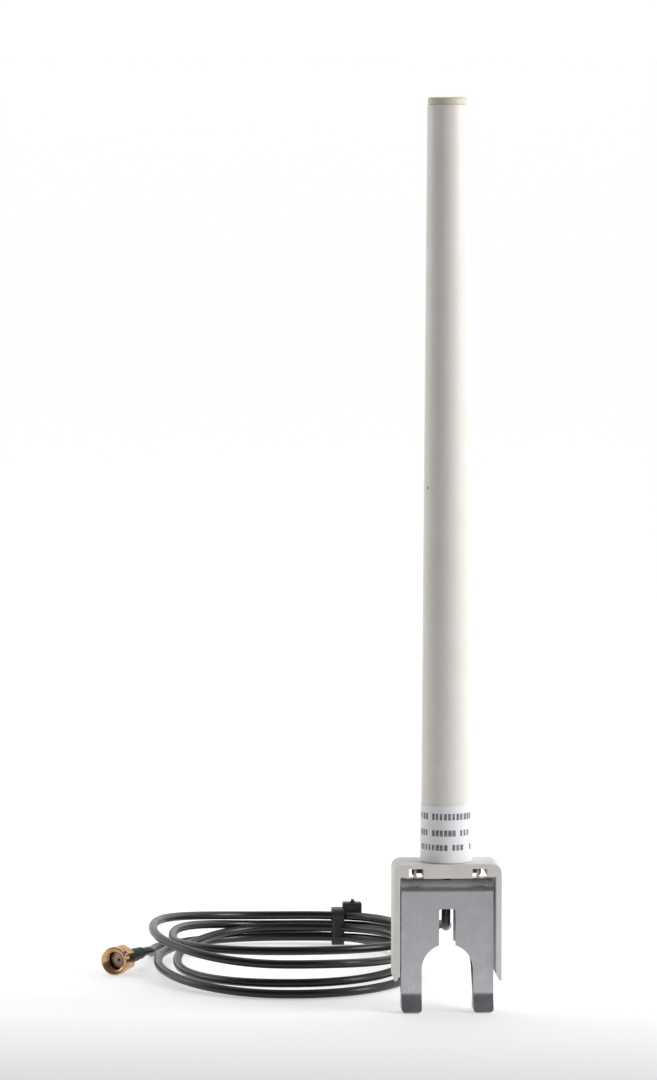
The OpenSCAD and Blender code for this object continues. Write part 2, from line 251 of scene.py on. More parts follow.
def add_tube(name, line, diameter):
    """A closed tube of 14 sides along a line, as a mesh that is shaded round."""
    data = bpy.data.curves.new(name, "CURVE")
    data.dimensions = "3D"
    data.bevel_depth = diameter / 2
    data.bevel_resolution = 5
    data.use_fill_caps = True
    spline = data.splines.new("POLY")
    spline.points.add(len(line) - 1)
    for point, place in zip(spline.points, line):
        point.co = (*place, 1)
    tube = bpy.data.objects.new(name, data)
    bpy.context.scene.collection.objects.link(tube)
    deselect()
    tube.select_set(True)
    bpy.context.view_layer.objects.active = tube
    bpy.ops.object.convert(target="MESH")
    tube = bpy.context.object
    bpy.ops.object.mode_set(mode="EDIT")
    bpy.ops.mesh.select_all(action="SELECT")
    bpy.ops.mesh.remove_doubles(threshold=1e-7)
    bpy.ops.mesh.normals_make_consistent(inside=False)
    bpy.ops.object.mode_set(mode="OBJECT")
    bpy.ops.object.shade_smooth_by_angle(angle=math.radians(50))
    return tube


def drift(tree, shader, patch_mm, detail, colour, other, gloss, spread=(0.0, 1.0)):
    """A surface that drifts, over patches of a size, between two colours and between two roughnesses.

    Spread is the span of the patches' noise over which the colour changes."""
    place = add_node(tree, "ShaderNodeTexCoord")
    cloud = add_node(tree, "ShaderNodeTexNoise", {"Vector": place.outputs["Object"],
                                                  "Scale": 1000 / patch_mm, "Detail": detail})
    share = add_node(tree, "ShaderNodeMapRange", {"Value": cloud.outputs["Fac"], "From Min": spread[0],
                                                  "From Max": spread[1]})
    tone = add_node(tree, "ShaderNodeMix", {"Factor": share.outputs["Result"], "A": colour, "B": other},
                    data_type="RGBA")
    tree.links.new(tone.outputs["Result"], shader.inputs["Base Color"])
    rough = add_node(tree, "ShaderNodeMapRange", {"Value": cloud.outputs["Fac"], "To Min": gloss[0],
                                                  "To Max": gloss[1]})
    tree.links.new(rough.outputs["Result"], shader.inputs["Roughness"])


def jacket_material():
    # Extruded PVC, black: a satin sheen that drifts where it has been handled, over a very fine grain
    material, tree, shader = new_material("black_pvc_extruded", "#0C0D12", 0.3, ior=1.53)
    drift(tree, shader, 6.25, 3.0, linear("#09090C"), linear("#141417"), (0.22, 0.38))
    fine_skin(tree, shader, 0.385, 0.05, 0.15)
    return material


JACKET = jacket_material()
CABLE_LINE = smooth_line(LEAD_ROUTE + coil_points() + TAIL_ROUTE)
cable = add_tube("coax_lead", CABLE_LINE, CABLE_D * MM)
cable.data.materials.append(JACKET)
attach(cable, "mast")
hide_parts("cable_lead", "cable_coil", "cable_tail")


# ---------------------------------------------------------------------------
# The radome: a tapered tube moulded in warm white ABS, 1.2 mm thick, open at
# its foot and its top. It is glued over the plug that stands in the holder.
# ---------------------------------------------------------------------------

RADOME_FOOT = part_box("radome")[0][2] / MM
RADOME_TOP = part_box("radome")[1][2] / MM
RADOME_BASE_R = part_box("radome")[1][0] / MM
RADOME_TOP_R = 6.25
RADOME_WALL = 1.2


def radome_r(z):
    """Outer radius of the tube at a height, in mm."""
    return RADOME_BASE_R - (z - RADOME_FOOT) * (RADOME_BASE_R - RADOME_TOP_R) / (RADOME_TOP - RADOME_FOOT)


def select_where(piece, test, kind="verts"):
    """In edit mode, selects only the elements whose middle passes a test on its place in mm."""
    bpy.ops.mesh.select_all(action="DESELECT")
    mode = {"verts": "VERT", "edges": "EDGE", "faces": "FACE"}[kind]
    bpy.ops.mesh.select_mode(type=mode)
    mesh = bmesh.from_edit_mesh(piece.data)
    for element in getattr(mesh, kind):
        corners = [element] if kind == "verts" else list(element.verts)
        middle = sum((v.co for v in corners), Vector()) / len(corners) / MM
        if test(middle) if kind == "verts" else test(middle, element):
            element.select_set(True)
    mesh.select_flush_mode()
    bmesh.update_edit_mesh(piece.data)


def shade(piece, angle=35):
    """Smooth shading across every edge that is flatter than an angle."""
    deselect()
    piece.select_set(True)
    bpy.context.view_layer.objects.active = piece
    bpy.ops.object.shade_smooth_by_angle(angle=math.radians(angle))


def turned(name, profile, sides=96):
    """A piece turned about Z: a ring at the first radius and height, extruded and resized to each next one.

    A profile that ends where it began closes into a ring. Any other is filled at both ends."""
    deselect()
    radius, height = profile[0]
    bpy.ops.mesh.primitive_circle_add(vertices=sides, radius=radius * MM, location=(0, 0, height * MM))
    piece = bpy.context.object
    piece.name = name
    bpy.ops.object.transform_apply(location=True)
    bpy.ops.object.mode_set(mode="EDIT")
    bpy.ops.mesh.select_all(action="SELECT")
    closed = tuple(profile[0]) == tuple(profile[-1])
    for next_radius, next_height in profile[1:]:
        bpy.ops.mesh.extrude_edges_move(
            TRANSFORM_OT_translate={"value": (0, 0, (next_height - height) * MM)})
        share = next_radius / radius
        bpy.ops.transform.resize(value=(share, share, 1))
        radius, height = next_radius, next_height
    if not closed:
        bpy.ops.mesh.edge_face_add()
        first_radius, first_height = profile[0]
        select_where(piece, lambda p: abs(p.z - first_height) < 1e-4
                     and abs(p.xy.length - first_radius) < 1e-3)
        bpy.ops.mesh.edge_face_add()
    bpy.ops.mesh.select_all(action="SELECT")
    bpy.ops.mesh.remove_doubles(threshold=1e-7)
    bpy.ops.mesh.normals_make_consistent(inside=False)
    bpy.ops.object.mode_set(mode="OBJECT")
    shade(piece)
    return piece


def finish_piece(piece, material, body, slot, *nodes):
    """Gives a piece its material and its body, and hides the CAD nodes that it replaces. The slot is not
    used. A piece given no body stays unattached.
    """
    piece.data.materials.clear()
    piece.data.materials.append(material)
    if body:
        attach(piece, body)
    if nodes:
        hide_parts(*nodes)


def moulded_plastic(name, colour, shadow, roughness, grain_mm, grain_depth):
    """Moulded plastic: a colour that drifts a little towards a shadow tone, and a fine grain in its skin.

    Returns the material and the bump node of its grain."""
    material, tree, shader = new_material(name, colour, roughness, ior=1.54)
    drift(tree, shader, 9.0, 2.0, linear(colour), linear(shadow), (roughness - 0.05, roughness + 0.06),
          (0.3, 0.7))
    return material, fine_skin(tree, shader, grain_mm, grain_depth, 0.35, 1.5)


def add_radome():
    # ABS, injection moulded, polished mould: a soft satin skin with a faint parting line on each side
    material, bump = moulded_plastic("white_abs_polished_moulding", "#EDE9E4", "#E9E4DD",
                                     0.36, 0.6, 0.004)
    tree = material.node_tree
    place = add_node(tree, "ShaderNodeTexCoord")
    split = add_node(tree, "ShaderNodeSeparateXYZ", {"Vector": place.outputs["Object"]})
    side = add_node(tree, "ShaderNodeMath", {0: split.outputs["Y"]}, operation="ABSOLUTE")
    line_half, line_depth = 0.18, 0.03
    line = add_node(tree, "ShaderNodeMapRange", {
        "Value": side.outputs["Value"], "From Max": line_half * MM, "To Min": 1.0, "To Max": 0.0})
    ridge = add_node(tree, "ShaderNodeBump", {"Height": line.outputs["Result"], "Strength": 0.5,
                                              "Distance": line_depth * MM,
                                              "Normal": bump.outputs["Normal"]})
    tree.links.new(ridge.outputs["Normal"], tree.nodes["Principled BSDF"].inputs["Normal"])

    edge = 0.25
    inner_foot = RADOME_BASE_R - RADOME_WALL
    inner_top = RADOME_TOP_R - RADOME_WALL
    profile = [(inner_foot, RADOME_FOOT), (RADOME_BASE_R - edge, RADOME_FOOT),
               (RADOME_BASE_R - 0.02, RADOME_FOOT + edge)]
    rings = 24
    for i in range(1, rings):
        z = RADOME_FOOT + edge + (RADOME_TOP - RADOME_FOOT - 2 * edge) * i / rings
        profile.append((radome_r(z), z))
    profile += [(radome_r(RADOME_TOP - edge), RADOME_TOP - edge), (RADOME_TOP_R - edge, RADOME_TOP),
                (inner_top, RADOME_TOP), (inner_foot, RADOME_FOOT)]
    radome = turned("radome_tube", profile, sides=128)
    finish_piece(radome, material, "mast", "radome_plastic", "radome")

    # the small round mark that the mould's gate leaves, at the front left
    gate_z, gate_r, gate_turn = 163.5, 0.45, math.radians(-61)
    gate = turned("radome_gate_mark", [(gate_r, -0.2), (gate_r, 0.02), (gate_r - 0.12, 0.1),
                                       (0.15, 0.12)], sides=24)
    gate.matrix_world = (Matrix.Rotation(gate_turn, 4, "Z")
                         @ Matrix.Translation((0, -radome_r(gate_z) * MM, gate_z * MM))
                         @ Matrix.Rotation(math.radians(90), 4, "X"))
    bpy.ops.object.transform_apply(location=True, rotation=True, scale=True)
    mark, _ = moulded_plastic("white_abs_torn_gate", "#B9B4AC", "#A8A39B", 0.6, 0.3, 0.01)
    finish_piece(gate, mark, "mast", "radome_plastic")


add_radome()


# ---------------------------------------------------------------------------
# The cap: a cream ABS plug pressed into the tube's top, with a thin rim. Its
# spigot is hidden in the tube.
# ---------------------------------------------------------------------------

def add_cap():
    # ABS, injection moulded in a second batch: creamier and a little duller than the tube
    material, _ = moulded_plastic("cream_abs_moulding", "#E0D9C8", "#D6CDB9", 0.42, 0.5, 0.004)
    low, high = (corner[2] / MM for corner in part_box("top_cap"))
    rim_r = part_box("top_cap")[1][0] / MM
    spigot_r = RADOME_TOP_R - RADOME_WALL - 0.05
    cap = turned("radome_cap", [
        (0.4, low), (spigot_r - 0.5, low), (spigot_r, low + 0.5), (spigot_r, RADOME_TOP + 0.02),
        (rim_r - 0.15, RADOME_TOP + 0.04), (rim_r, RADOME_TOP + 0.2), (rim_r, high - 0.55),
        (rim_r - 0.12, high - 0.26), (rim_r - 0.38, high - 0.06), (rim_r - 0.7, high),
        (rim_r - 1.5, high), (rim_r - 1.65, high - 0.12), (1.2, high - 0.16), (0.9, high - 0.4),
        (0.3, high - 0.5)], sides=96)
    finish_piece(cap, material, "mast", "cap_plastic", "top_cap")


add_cap()


# ---------------------------------------------------------------------------
# The label: white vinyl film wrapped once round the tube's foot, 0.15 mm thick.
# Its print is three rows of plain bars that say nothing.
# ---------------------------------------------------------------------------

LABEL_LOW, LABEL_HIGH = (corner[2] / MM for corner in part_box("label"))


def label_material():
    # Vinyl film, printed: flat cool white with a low sheen, and matt black ink
    material, tree, shader = new_material("white_vinyl_printed", "#F1F2F5", 0.46, ior=1.5)
    place = add_node(tree, "ShaderNodeTexCoord")
    split = add_node(tree, "ShaderNodeSeparateXYZ", {"Vector": place.outputs["Object"]})
    angle = add_node(tree, "ShaderNodeMath", {0: split.outputs["X"]}, operation="ARCTAN2")
    flip = add_node(tree, "ShaderNodeMath", {0: split.outputs["Y"], 1: -1.0}, operation="MULTIPLY")
    tree.links.new(flip.outputs["Value"], angle.inputs[1])
    # position round the tube in mm, measured from the front
    label_r, bar_pitch, left_out = 7.95, 1.3, 0.14
    around = add_node(tree, "ShaderNodeMath", {0: angle.outputs["Value"], 1: label_r}, operation="MULTIPLY")
    ink = None
    # each row's height on the tube, the height of its bars, its length and its middle, in mm
    rows = ((61.5, 2.0, 20.0, -1.2), (56.4, 1.9, 19.0, -2.0), (51.9, 1.8, 20.0, -0.5))
    for seed, (row_z, row_h, reach, middle) in enumerate(rows):
        height = add_node(tree, "ShaderNodeMath", {0: split.outputs["Z"], 1: row_z * MM},
                          operation="SUBTRACT")
        height = add_node(tree, "ShaderNodeMath", {0: height.outputs["Value"]}, operation="ABSOLUTE")
        in_row = add_node(tree, "ShaderNodeMath", {0: height.outputs["Value"], 1: row_h / 2 * MM},
                          operation="LESS_THAN")
        centred = add_node(tree, "ShaderNodeMath", {0: around.outputs["Value"], 1: middle},
                           operation="SUBTRACT")
        away = add_node(tree, "ShaderNodeMath", {0: centred.outputs["Value"]}, operation="ABSOLUTE")
        in_reach = add_node(tree, "ShaderNodeMath", {0: away.outputs["Value"], 1: reach / 2},
                            operation="LESS_THAN")
        # evenly spaced bars, some of them left out as the gaps between words
        cell = add_node(tree, "ShaderNodeMath", {0: around.outputs["Value"], 1: bar_pitch},
                        operation="DIVIDE")
        number = add_node(tree, "ShaderNodeMath", {0: cell.outputs["Value"]}, operation="FLOOR")
        part = add_node(tree, "ShaderNodeMath", {0: cell.outputs["Value"]}, operation="FRACT")
        chance = add_node(tree, "ShaderNodeTexWhiteNoise", noise_dimensions="2D")
        pair = add_node(tree, "ShaderNodeCombineXYZ", {"X": number.outputs["Value"], "Y": seed * 7.0 + 3})
        tree.links.new(pair.outputs["Vector"], chance.inputs["Vector"])
        shown = add_node(tree, "ShaderNodeMath", {0: chance.outputs["Value"], 1: left_out},
                         operation="GREATER_THAN")
        width = add_node(tree, "ShaderNodeMapRange", {"Value": chance.outputs["Value"], "To Min": 0.5,
                                                      "To Max": 0.86})
        bar = add_node(tree, "ShaderNodeMath", {0: part.outputs["Value"], 1: width.outputs["Result"]},
                       operation="LESS_THAN")
        for extra in (in_row, in_reach, shown):
            bar = add_node(tree, "ShaderNodeMath", {0: bar.outputs["Value"], 1: extra.outputs["Value"]},
                           operation="MULTIPLY")
        ink = bar if ink is None else add_node(
            tree, "ShaderNodeMath", {0: ink.outputs["Value"], 1: bar.outputs["Value"]}, operation="MAXIMUM")
    speck = add_node(tree, "ShaderNodeTexNoise", {"Vector": place.outputs["Object"], "Scale": 3200.0})
    cover = add_node(tree, "ShaderNodeMapRange", {"Value": speck.outputs["Fac"], "From Min": 0.3,
                                                  "From Max": 0.62, "To Min": 0.6, "To Max": 0.92})
    share = add_node(tree, "ShaderNodeMath", {0: ink.outputs["Value"], 1: cover.outputs["Result"]},
                     operation="MULTIPLY")
    colour = add_node(tree, "ShaderNodeMix", {"Factor": share.outputs["Value"], "A": linear("#F1F2F5"),
                                              "B": linear("#2C2C2E")}, data_type="RGBA")
    tree.links.new(colour.outputs["Result"], shader.inputs["Base Color"])
    fine_skin(tree, shader, 3.85, 0.03, 0.3)
    return material


def add_label():
    film, edge, glue = 0.15, 0.04, 0.01
    low_r, high_r = radome_r(LABEL_LOW) + glue, radome_r(LABEL_HIGH) + glue
    label = turned("label_film", [
        (low_r, LABEL_LOW), (low_r + film - edge, LABEL_LOW), (low_r + film, LABEL_LOW + edge),
        (high_r + film, LABEL_HIGH - edge), (high_r + film - edge, LABEL_HIGH), (high_r, LABEL_HIGH),
        (low_r, LABEL_LOW)], sides=128)
    finish_piece(label, label_material(), "mast", "label_film", "label")


add_label()


# ---------------------------------------------------------------------------
# The holder: an off-white ABS fork moulded in one piece. Its arms straddle the
# clip, and the block under its top wall takes the clip's two rivets.
# ---------------------------------------------------------------------------

HOLDER_LOW, HOLDER_HIGH = (Vector(corner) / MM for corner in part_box("holder"))
PIVOT_Z = 43.6
BLOCK_X = 7.6
BLOCK_LOW = 42.4
POCKET_TOP = 45.4
GROMMET_H = 1.6
# A cutting tool starts and ends this far from the middle, clear of the piece
PAST = 20


def add_box(name, low, high):
    """A box between two corners in mm."""
    deselect()
    low, high = Vector(low) * MM, Vector(high) * MM
    bpy.ops.mesh.primitive_cube_add(size=1, location=(low + high) / 2)
    box = bpy.context.object
    box.name = name
    box.scale = high - low
    bpy.ops.object.transform_apply(location=True, rotation=True, scale=True)
    return box


def add_rod(name, radius, low, high, axis="Z", middle=(0, 0, 0), sides=64):
    """A round rod in mm that runs from low to high along X or Z. Its other two places come from middle."""
    deselect()
    place = Vector(middle)
    place["XYZ".index(axis)] = (low + high) / 2
    turn = (0, math.pi / 2, 0) if axis == "X" else (0, 0, 0)
    bpy.ops.mesh.primitive_cylinder_add(vertices=sides, radius=radius * MM, depth=(high - low) * MM,
                                        location=place * MM, rotation=turn)
    rod = bpy.context.object
    rod.name = name
    bpy.ops.object.transform_apply(location=True, rotation=True, scale=True)
    return rod


def apply_modifier(piece, kind, **settings):
    """Adds one modifier and applies it at once."""
    deselect()
    piece.select_set(True)
    bpy.context.view_layer.objects.active = piece
    modifier = piece.modifiers.new(kind.lower(), kind)
    for name, value in settings.items():
        setattr(modifier, name, value)
    bpy.ops.object.modifier_apply(modifier=modifier.name)


def round_edges(piece, width, segments, angle=40):
    """A small moulded or tumbled radius on every edge sharper than an angle."""
    apply_modifier(piece, "BEVEL", width=width * MM, segments=segments, limit_method="ANGLE",
                   angle_limit=math.radians(angle), use_clamp_overlap=True)
    shade(piece, 50)
    apply_modifier(piece, "WEIGHTED_NORMAL", keep_sharp=True)


def carve(piece, tool, operation="DIFFERENCE"):
    """Cuts, joins or meets a piece with a tool shape, and removes the tool."""
    apply_modifier(piece, "BOOLEAN", object=tool, operation=operation, solver="EXACT")
    bpy.data.objects.remove(tool)


def bevel_edges(piece, test, width, segments):
    """Rounds the edges that pass a test on their middle in mm."""
    deselect()
    piece.select_set(True)
    bpy.context.view_layer.objects.active = piece
    bpy.ops.object.mode_set(mode="EDIT")
    select_where(piece, test, "edges")
    bpy.ops.mesh.bevel(offset=width * MM, segments=segments, affect="EDGES")
    bpy.ops.object.mode_set(mode="OBJECT")


def runs_along(edge, axis):
    """Whether an edge is parallel to one axis."""
    way = (edge.verts[1].co - edge.verts[0].co).normalized()
    return abs(way["XYZ".index(axis)]) > 0.999


def add_holder():
    # ABS off a spark-eroded mould: warm off-white, matt, with an even fine grain
    material, _ = moulded_plastic("off_white_abs_eroded_mould", "#E4E1DD", "#DEDAD5", 0.55, 0.35, 0.012)
    arm_wall, corner_in, corner_r, chamfer = 1.75, 12.15, 2.8, 1.9
    arm_in, chamfer_z = HOLDER_HIGH.x - arm_wall, HOLDER_LOW.z + chamfer
    holder = add_box("holder_fork", HOLDER_LOW, HOLDER_HIGH)
    bevel_edges(holder, lambda p, e: runs_along(e, "Y") and p.z > HOLDER_HIGH.z - 1, corner_r, 8)

    # the space between the arms opens at the bottom in a lead-in
    gap = add_box("gap", (-arm_in, -PAST, chamfer_z), (arm_in, PAST, BLOCK_LOW + 0.5))
    bpy.ops.object.mode_set(mode="EDIT")
    select_where(gap, lambda p, f: p.z < chamfer_z + 0.01, "faces")
    bpy.ops.mesh.extrude_region_move(TRANSFORM_OT_translate={"value": (0, 0, -chamfer * MM)})
    bpy.ops.transform.resize(value=((arm_in + 1) / arm_in, 1, 1))
    bpy.ops.mesh.extrude_region_move(TRANSFORM_OT_translate={"value": (0, 0, -2 * MM)})
    bpy.ops.object.mode_set(mode="OBJECT")
    carve(holder, gap)
    carve(holder, add_box("pocket", (-corner_in, -PAST, 40), (corner_in, PAST, POCKET_TOP)))
    block = add_box("block", (-BLOCK_X, HOLDER_LOW.y, BLOCK_LOW), (BLOCK_X, HOLDER_HIGH.y, POCKET_TOP + 0.2))
    carve(holder, block, "UNION")
    carve(holder, add_rod("plug_bore", 5.05, BLOCK_LOW + GROMMET_H, 50, sides=96))
    carve(holder, add_rod("cable_bore", 2.4, 40, 46))
    for side in (-1, 1):
        near, far = sorted((side * 5.2, side * 9))
        carve(holder, add_rod("rivet_bore", 0.75, near, far, "X", (0, 0, PIVOT_Z), 32))
    round_edges(holder, 0.32, 4)
    finish_piece(holder, material, "mast", "holder_plastic", "holder")


add_holder()


# ---------------------------------------------------------------------------
# The plug and the grommet: a turned brass plug that stands in the holder and
# carries the tube, and a rubber grommet pressed under it round the cable.
# ---------------------------------------------------------------------------

def turned_metal(name, colour, worn, roughness, grain_mm=0.12, depth=0.002):
    """Bare or plated metal with a fine tooled skin and a slow drift in its colour."""
    material, tree, shader = new_material(name, colour, roughness, metallic=1.0)
    drift(tree, shader, 2.38, 3.0, linear(colour), linear(worn), (roughness - 0.06, roughness + 0.1),
          (0.35, 0.7))
    fine_skin(tree, shader, grain_mm, depth, 0.3, 1.0)
    return material


def soft_rubber(name, colour, roughness, ior=1.5):
    """Rubber, silicone or another soft polymer: one colour, dusty in patches, with a slight orange peel."""
    material, tree, shader = new_material(name, colour, roughness, ior=ior)
    dusty = tuple(min(1.0, part * 1.35 + 0.004) for part in linear(colour)[:3]) + (1.0,)
    drift(tree, shader, 1.43, 4.0, linear(colour), dusty, (roughness - 0.1, roughness + 0.12))
    fine_skin(tree, shader, 0.303, 0.01, 0.25)
    return material


def dress(node, material):
    """Puts a material on a CAD node that is shown as it is."""
    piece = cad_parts[node]
    if not piece.material_slots:
        piece.data.materials.append(material)
    for place in piece.material_slots:
        place.material = material


PLUG_BRASS = turned_metal("nickelled_brass_turned", "#C9C4B8", "#B4AD9E", 0.28)
BLACK_RUBBER = soft_rubber("black_rubber_pressed", "#1A1A1B", 0.6)
dress("base_plug", PLUG_BRASS)
GROMMET_TOP = BLOCK_LOW + GROMMET_H
grommet = turned("cable_grommet_ring", [
    (1.45, BLOCK_LOW + 0.15), (1.6, BLOCK_LOW), (2.25, BLOCK_LOW), (2.38, BLOCK_LOW + 0.15),
    (2.38, GROMMET_TOP - 0.15), (2.25, GROMMET_TOP), (1.6, GROMMET_TOP), (1.45, GROMMET_TOP - 0.15),
    (1.45, BLOCK_LOW + 0.15)], sides=64)
finish_piece(grommet, BLACK_RUBBER, "mast", "black_rubber", "cable_grommet")


# ---------------------------------------------------------------------------
# The clip: one strip of 0.8 mm spring steel, blanked with a slot and an arch
# in both leaves, bent over at the top and out at the tips. Two ears stand up
# from its crown.

STEEL = 0.8
CLIP_HALF = 14.35
LEAF_Y = 5.6
BEND_R = 4.0
BEND_Y, BEND_Z = LEAF_Y - BEND_R, 37.6
ARCH_R, ARCH_Z = 8.0, 13.4
SLOT_HALF, SLOT_TOP = 2.55, 32.4
TIP_R = 1.2
EAR_X = 9.4


def spring_steel():
    # Rolled and tumbled stainless spring steel: mid grey, satin, with faint lines along the rolling
    material, tree, shader = new_material("spring_steel_rolled", "#C6C4C9", 0.3, metallic=1.0)
    place = add_node(tree, "ShaderNodeTexCoord")
    # the strip was rolled along its length, so the lines are short across X and long along Z
    line_mm, run_mm, cloud_mm = 0.238, 6.25, 4.35
    grain = add_node(tree, "ShaderNodeMapping", {
        "Vector": place.outputs["Object"], "Scale": (1000 / line_mm, 1000 / run_mm, 1000 / run_mm)})
    lines = add_node(tree, "ShaderNodeTexNoise", {"Vector": grain.outputs["Vector"], "Scale": 1.0,
                                                  "Detail": 2.0})
    cloud = add_node(tree, "ShaderNodeTexNoise", {"Vector": place.outputs["Object"],
                                                  "Scale": 1000 / cloud_mm, "Detail": 1.0})
    tone = add_node(tree, "ShaderNodeMix", {"Factor": lines.outputs["Fac"], "A": linear("#BDBBC1"),
                                            "B": linear("#D0CED2")}, data_type="RGBA")
    tree.links.new(tone.outputs["Result"], shader.inputs["Base Color"])
    gloss = add_node(tree, "ShaderNodeMapRange", {"Value": cloud.outputs["Fac"], "From Min": 0.3,
                                                  "From Max": 0.7, "To Min": 0.25, "To Max": 0.37})
    tree.links.new(gloss.outputs["Result"], shader.inputs["Roughness"])
    bump = add_node(tree, "ShaderNodeBump", {"Height": cloud.outputs["Fac"], "Strength": 0.05,
                                             "Distance": 0.02 * MM})
    tree.links.new(bump.outputs["Normal"], shader.inputs["Normal"])
    return material


def spin_on(degrees, centre, steps):
    """Carries the selected edge on round a bend, about an axis along X."""
    bpy.ops.mesh.spin(steps=steps, angle=math.radians(degrees), center=(0, centre[0] * MM, centre[1] * MM),
                      axis=(1, 0, 0))


def run_on(y, z):
    """Carries the selected edge on in a straight line, in mm."""
    bpy.ops.mesh.extrude_edges_move(TRANSFORM_OT_translate={"value": (0, y * MM, z * MM)})


def bent_strip():
    """The strip's outer face, from the front tip over the crown to the back tip."""
    flare_r, flare_turn, flare_run = 5.0, 28.0, 4.1
    lean = math.radians(flare_turn)
    flare_z = (STEEL + flare_r) * math.sin(lean) + flare_run * math.cos(lean)
    deselect()
    bpy.ops.mesh.primitive_plane_add(size=1, location=(0, -LEAF_Y * MM, (flare_z + BEND_Z) / 2 * MM),
                                     rotation=(math.pi / 2, 0, 0))
    strip = bpy.context.object
    strip.name = "spring_clip"
    strip.scale = (2 * CLIP_HALF * MM, (BEND_Z - flare_z) * MM, 1)
    bpy.ops.object.transform_apply(location=True, rotation=True, scale=True)
    bpy.ops.object.mode_set(mode="EDIT")
    select_where(strip, lambda p, e: abs(p.z - flare_z) < 0.01, "edges")
    spin_on(flare_turn, (-LEAF_Y - flare_r, flare_z), 5)
    run_on(-flare_run * math.sin(lean), -flare_run * math.cos(lean))

    select_where(strip, lambda p, e: abs(p.z - BEND_Z) < 0.01, "edges")
    spin_on(90, (-BEND_Y, BEND_Z), 10)
    run_on(2 * BEND_Y, 0)
    spin_on(90, (BEND_Y, BEND_Z), 10)
    lean_z, lean_turn, lean_r, lean_run = 15.6, 44.0, 3.0, 7.6
    run_on(0, lean_z - BEND_Z)
    lean_centre = (LEAF_Y - STEEL - lean_r, lean_z)
    spin_on(lean_turn, lean_centre, 6)
    lean = math.radians(lean_turn)
    run_on(-lean_run * math.sin(lean), -lean_run * math.cos(lean))
    end_y = lean_centre[0] + (lean_r + STEEL) * math.cos(lean) - lean_run * math.sin(lean)
    end_z = lean_centre[1] - (lean_r + STEEL) * math.sin(lean) - lean_run * math.cos(lean)
    lip_r, lip_turn = 2.2, 30.0
    lip_centre = (end_y + lip_r * math.cos(lean), end_z - lip_r * math.sin(lean))
    spin_on(-lean_turn - lip_turn, lip_centre, 8)
    lip = math.radians(lip_turn)
    lip_z = lip_centre[1] - (lip_r + STEEL) * math.sin(lip)
    run_on(lip_z * math.tan(lip), -lip_z)
    bpy.ops.mesh.select_all(action="SELECT")
    bpy.ops.mesh.remove_doubles(threshold=1e-7)
    bpy.ops.mesh.normals_make_consistent(inside=False)
    bpy.ops.object.mode_set(mode="OBJECT")
    return strip


def arch_tool():
    """The blanking tool of the arch, with its straight sides run down past the tips."""
    deselect()
    bpy.ops.mesh.primitive_circle_add(vertices=64, radius=ARCH_R * MM, fill_type="NOTHING",
                                      location=(0, -PAST * MM, ARCH_Z * MM), rotation=(math.pi / 2, 0, 0))
    tool = bpy.context.object
    bpy.ops.object.transform_apply(location=True, rotation=True, scale=True)
    bpy.ops.object.mode_set(mode="EDIT")
    select_where(tool, lambda p: p.z < ARCH_Z - 0.01)
    bpy.ops.mesh.delete(type="VERT")
    select_where(tool, lambda p: abs(p.z - ARCH_Z) < 0.01)
    bpy.ops.mesh.extrude_vertices_move(TRANSFORM_OT_translate={"value": (0, 0, -(ARCH_Z + 4) * MM)})
    bpy.ops.mesh.select_all(action="SELECT")
    bpy.ops.mesh.edge_face_add()
    bpy.ops.mesh.extrude_region_move(TRANSFORM_OT_translate={"value": (0, 2 * PAST * MM, 0)})
    bpy.ops.mesh.select_all(action="SELECT")
    bpy.ops.mesh.normals_make_consistent(inside=False)
    bpy.ops.object.mode_set(mode="OBJECT")
    return tool


def is_tip_corner(place, edge):
    """Whether an edge crosses the steel's thickness at a corner of a tip."""
    beside = min(abs(abs(place.x) - ARCH_R), abs(abs(place.x) - CLIP_HALF))
    across = (edge.verts[0].co - edge.verts[1].co).length / MM
    return place.z < 0.9 and beside < 0.02 and abs(across - STEEL) < 0.12


def add_clip():
    clip = bent_strip()
    apply_modifier(clip, "SOLIDIFY", thickness=STEEL * MM, offset=-1, use_even_offset=True)
    carve(clip, arch_tool())
    slot = add_box("slot", (-SLOT_HALF, -PAST, 8), (SLOT_HALF, PAST, SLOT_TOP))
    bevel_edges(slot, lambda p, e: runs_along(e, "Y") and p.z > SLOT_TOP - 1, 0.7, 5)
    carve(clip, slot)
    carve(clip, add_rod("crown_hole", 3.2, 39, 45))
    for side in (-1, 1):
        near, far = sorted((side * EAR_X, side * (EAR_X + STEEL)))
        ear = add_box("ear", (near, -1.9, BEND_Z + BEND_R - 0.4), (far, 1.9, PIVOT_Z + 1.6))
        bevel_edges(ear, lambda p, e: runs_along(e, "X") and p.z > PIVOT_Z + 1, 1.5, 6)
        carve(clip, ear, "UNION")
    bevel_edges(clip, is_tip_corner, TIP_R, 5)
    round_edges(clip, 0.1, 2, 50)
    finish_piece(clip, spring_steel(), None, "spring_steel", "clip_back", "clip_front")
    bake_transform(clip)


add_clip()


# ---------------------------------------------------------------------------
# The rivets: two dark steel pins that hold the clip's ears to the holder's
# block, with domed heads outside.
# ---------------------------------------------------------------------------

def put(piece, matrix):
    """Moves a piece's mesh, and leaves its object at the origin."""
    deselect()
    piece.select_set(True)
    bpy.context.view_layer.objects.active = piece
    piece.matrix_world = matrix
    bpy.ops.object.transform_apply(location=True, rotation=True, scale=True)
    return piece


